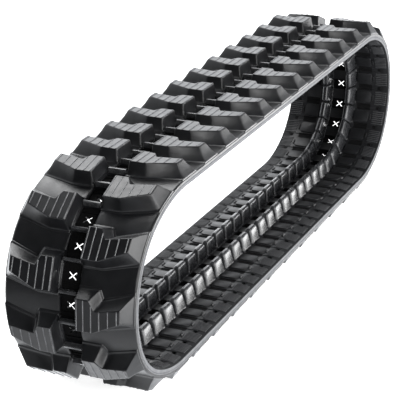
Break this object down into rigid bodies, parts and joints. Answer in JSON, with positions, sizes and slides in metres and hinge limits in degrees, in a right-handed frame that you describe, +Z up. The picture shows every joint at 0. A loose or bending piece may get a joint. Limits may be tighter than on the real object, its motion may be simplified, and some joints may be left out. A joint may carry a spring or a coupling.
{
  "type": "rubber track",
  "caption": "Endless rubber track for a mini excavator: lugged rubber belt with sprocket windows, paired inner guide lugs, and steel cores and cords moulded inside.",
  "frame": {"origin": "on the ground under the middle of the lower run: centre of the bounding box's bottom face", "axes": "+X along the track's length towards the rear bend, +Y across the belt, +Z up from the ground"},
  "size_m": [1.4774, 0.23, 0.3856],
  "materials": {
    "tread_rubber": "moulded, semi-gloss charcoal",
    "inner_rubber": "moulded, semi-gloss charcoal, smoother on the pads",
    "carcass_rubber": "bonded, not seen",
    "steel_core": "forged, blasted for bonding",
    "steel_cord": "stranded, brass coated"
  },
  "bodies": {
    "root": {"cord_left_1": "steel_cord", "cord_left_2": "steel_cord", "cord_left_3": "steel_cord", "cord_left_4": "steel_cord", "cord_left_5": "steel_cord", "cord_left_6": "steel_cord", "cord_left_7": "steel_cord", "cord_left_8": "steel_cord", "cord_right_1": "steel_cord", "cord_right_2": "steel_cord", "cord_right_3": "steel_cord", "cord_right_4": "steel_cord", "cord_right_5": "steel_cord", "cord_right_6": "steel_cord", "cord_right_7": "steel_cord", "cord_right_8": "steel_cord", "steel_cores_lower_run": "steel_core", "steel_cores_front_bend": "steel_core", "steel_cores_upper_run": "steel_core", "steel_cores_rear_bend": "steel_core", "cord_ply_left": "carcass_rubber", "cord_ply_right": "carcass_rubber", "core_filler": "carcass_rubber", "tread_band_lower_run": "tread_rubber", "tread_band_front_bend": "tread_rubber", "tread_band_upper_run": "tread_rubber", "tread_band_rear_bend": "tread_rubber", "edge_strip_left_lower_run": "tread_rubber", "edge_strip_left_front_bend": "tread_rubber", "edge_strip_left_upper_run": "tread_rubber", "edge_strip_left_rear_bend": "tread_rubber", "edge_strip_right_lower_run": "tread_rubber", "edge_strip_right_front_bend": "tread_rubber", "edge_strip_right_upper_run": "tread_rubber", "edge_strip_right_rear_bend": "tread_rubber", "tread_lugs_left": "tread_rubber", "tread_lugs_right": "tread_rubber", "bridge_bars": "tread_rubber", "inner_cover_lower_run": "inner_rubber", "inner_cover_front_bend": "inner_rubber", "inner_cover_upper_run": "inner_rubber", "inner_cover_rear_bend": "inner_rubber", "guide_lugs_left": "inner_rubber", "guide_lugs_right": "inner_rubber", "wheel_pads_left": "inner_rubber", "wheel_pads_right": "inner_rubber", "window_films": "inner_rubber"}
  },
  "joints": []
}
